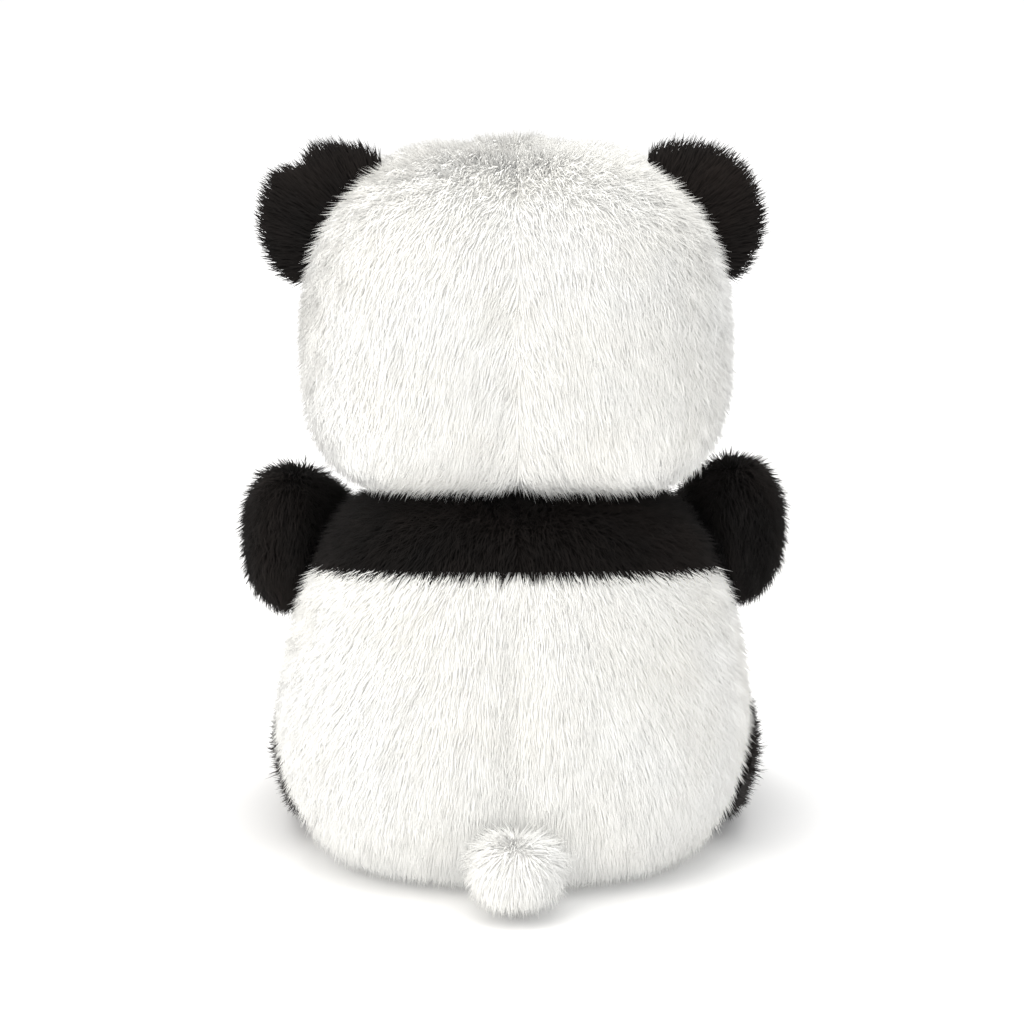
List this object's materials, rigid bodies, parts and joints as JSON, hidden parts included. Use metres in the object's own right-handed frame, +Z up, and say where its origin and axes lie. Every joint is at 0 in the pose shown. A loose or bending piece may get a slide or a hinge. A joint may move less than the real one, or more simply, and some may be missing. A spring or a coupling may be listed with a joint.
{
  "type": "plush panda",
  "caption": "Seated soft toy panda in black and white pile fabric, with a jointed head, ears, arms, legs and pom tail",
  "frame": {"origin": "on the standing surface, under the middle of the object's bounding box", "axes": "+Z up, the panda faces -Y, and +X is the panda's own left side"},
  "size_m": [0.19, 0.2246, 0.2499],
  "materials": {
    "white_pile": "soft white long-pile plush",
    "black_pile": "soft black long-pile plush",
    "clipped_black_pile": "short clipped black plush",
    "black_plastic": "polished black safety eyes and nose",
    "washer_plastic": "plain moulded washer",
    "mouth_thread": "black embroidery thread",
    "stuffing_fibre": "loose polyester fibre filling",
    "bag_cotton": "plain woven cotton",
    "pellet_plastic": "small round plastic pellets"
  },
  "bodies": {
    "torso": {"shoulder_back_left_panel": "black_pile", "shoulder_back_right_panel": "black_pile", "chest_panel": "black_pile", "back_left_panel": "white_pile", "back_right_panel": "white_pile", "belly_panel": "white_pile", "seat_panel": "white_pile", "body_stuffing": "stuffing_fibre", "pellet_bag_top": "bag_cotton", "pellet_bag_bottom": "bag_cotton", "pellets": "pellet_plastic"},
    "neck": {"neck_stuffing": "stuffing_fibre"},
    "head": {"head_back_left_panel": "white_pile", "head_back_right_panel": "white_pile", "forehead_panel": "white_pile", "cheek_left_panel": "white_pile", "cheek_right_panel": "white_pile", "muzzle_panel": "white_pile", "head_stuffing": "stuffing_fibre", "eye_patch_left": "clipped_black_pile", "eye_patch_right": "clipped_black_pile", "eye_left": "black_plastic", "eye_right": "black_plastic", "eye_washer_left": "washer_plastic", "eye_washer_right": "washer_plastic", "nose": "black_plastic", "nose_washer": "washer_plastic", "mouth_stitch": "mouth_thread"},
    "tail": {"tail_upper_panel": "white_pile", "tail_lower_panel": "white_pile", "tail_stuffing": "stuffing_fibre"},
    "ear_left": {"ear_left_back_panel": "black_pile", "ear_left_front_panel": "black_pile"},
    "arm_left": {"arm_left_outer_panel": "black_pile", "arm_left_inner_panel": "black_pile", "arm_left_stuffing": "stuffing_fibre"},
    "leg_left": {"leg_left_upper_panel": "black_pile", "leg_left_lower_panel": "black_pile", "foot_left_sole": "black_pile", "leg_left_stuffing": "stuffing_fibre"},
    "ear_right": {"ear_right_back_panel": "black_pile", "ear_right_front_panel": "black_pile"},
    "arm_right": {"arm_right_outer_panel": "black_pile", "arm_right_inner_panel": "black_pile", "arm_right_stuffing": "stuffing_fibre"},
    "leg_right": {"leg_right_upper_panel": "black_pile", "leg_right_lower_panel": "black_pile", "foot_right_sole": "black_pile", "leg_right_stuffing": "stuffing_fibre"}
  },
  "joints": [
    {"name": "neck_turn", "type": "hinge", "parent": "torso", "child": "neck", "pos_m": [0, 0.00867, 0.138], "axis": [0, 0, 1], "range_deg": [-15, 15], "stiffness_Nm_per_rad": 0.4},
    {"name": "head_nod", "type": "hinge", "parent": "neck", "child": "head", "pos_m": [0, 0.00867, 0.138], "axis": [1, 0, 0], "range_deg": [-6, 6], "stiffness_Nm_per_rad": 0.6},
    {"name": "ear_left_fold", "type": "hinge", "parent": "head", "child": "ear_left", "pos_m": [0.058, 0.00667, 0.219], "axis": [0.5592, 0, -0.829], "range_deg": [-20, 20], "stiffness_Nm_per_rad": 0.03},
    {"name": "arm_left_raise", "type": "hinge", "parent": "torso", "child": "arm_left", "pos_m": [0.072, 0.00267, 0.11], "axis": [-1, 0, 0], "range_deg": [-5, 25], "stiffness_Nm_per_rad": 0.5},
    {"name": "leg_left_lift", "type": "hinge", "parent": "torso", "child": "leg_left", "pos_m": [0.06, -0.00133, 0.0253], "axis": [-1, 0, 0], "range_deg": [0, 8], "stiffness_Nm_per_rad": 0.4},
    {"name": "ear_right_fold", "type": "hinge", "parent": "head", "child": "ear_right", "pos_m": [-0.058, 0.00667, 0.219], "axis": [-0.5592, 0, -0.829], "range_deg": [-20, 20], "stiffness_Nm_per_rad": 0.03},
    {"name": "arm_right_raise", "type": "hinge", "parent": "torso", "child": "arm_right", "pos_m": [-0.072, 0.00267, 0.113], "axis": [-1, 0, 0], "range_deg": [-5, 25], "stiffness_Nm_per_rad": 0.5},
    {"name": "leg_right_lift", "type": "hinge", "parent": "torso", "child": "leg_right", "pos_m": [-0.06, -0.00133, 0.0253], "axis": [-1, 0, 0], "range_deg": [0, 8], "stiffness_Nm_per_rad": 0.4},
    {"name": "tail_wag", "type": "hinge", "parent": "torso", "child": "tail", "pos_m": [0, 0.07667, 0.015], "axis": [0, 0, 1], "range_deg": [-15, 15], "stiffness_Nm_per_rad": 0.03}
  ]
}
